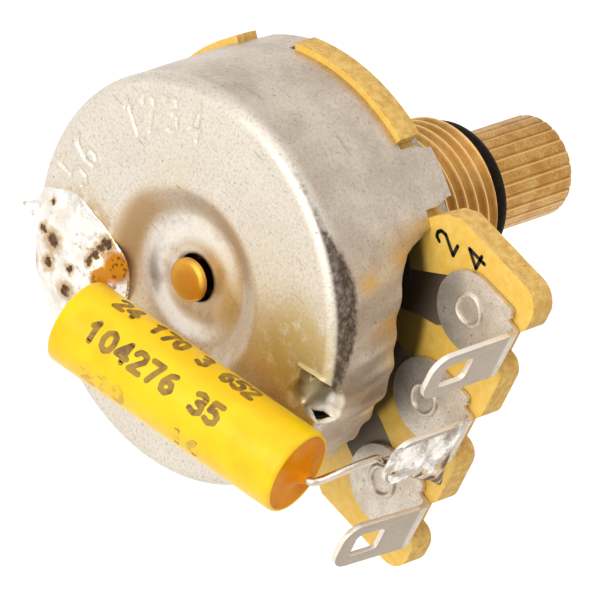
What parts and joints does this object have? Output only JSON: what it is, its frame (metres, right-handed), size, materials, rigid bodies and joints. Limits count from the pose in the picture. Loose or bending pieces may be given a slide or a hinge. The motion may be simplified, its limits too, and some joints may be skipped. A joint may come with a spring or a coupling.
{
  "type": "rotary potentiometer",
  "caption": "Panel potentiometer with a knurled brass shaft, threaded bushing, dished steel can, riveted solder lugs and a yellow tubular capacitor soldered across it.",
  "frame": {"origin": "centre of the panel seat, which is the front face of the bushing's flange, on the shaft's axis", "axes": "+Y along the shaft, out of the panel; +X along the terminal tongue; +Z from terminal 3 to terminal 1"},
  "size_m": [0.0288, 0.0359, 0.0246],
  "materials": {
    "can_steel": "satin plated steel, lightly stained with flux",
    "plate_steel": "satin plated steel",
    "brass": "dull machined brass",
    "phenolic": "resin bonded paper board",
    "carbon": "printed carbon film",
    "silver_ink": "printed silver film, tarnished",
    "tin": "tinned sheet",
    "film": "wrapped polyester film",
    "resin": "poured epoxy resin",
    "wire": "tinned copper wire",
    "solder": "bright solder with burnt flux",
    "rubber": "black rubber",
    "spring": "spring bronze"
  },
  "bodies": {
    "housing": {"can": "can_steel", "front_plate": "plate_steel", "bushing": "brass", "element_board": "phenolic", "resistive_track": "carbon", "track_lead_1": "silver_ink", "track_lead_3": "silver_ink", "collector_track": "silver_ink", "terminal_1": "tin", "terminal_2": "tin", "terminal_3": "tin", "rivet_1": "tin", "rivet_2": "tin", "rivet_3": "tin", "cap_winding": "film", "cap_sleeve": "film", "cap_seal_front": "resin", "cap_seal_rear": "resin", "cap_lead_lug": "wire", "cap_lead_can": "wire", "solder_lug": "solder", "solder_can": "solder"},
    "rotor": {"shaft": "brass", "o_ring": "rubber", "retaining_ring": "plate_steel", "driver": "plate_steel", "rotor_disc": "phenolic", "wiper": "spring"}
  },
  "joints": [
    {"name": "shaft_turn", "type": "hinge", "parent": "housing", "child": "rotor", "pos_m": [0, 0, 0], "axis": [0, 1, 0], "range_deg": [-150, 150]}
  ]
}
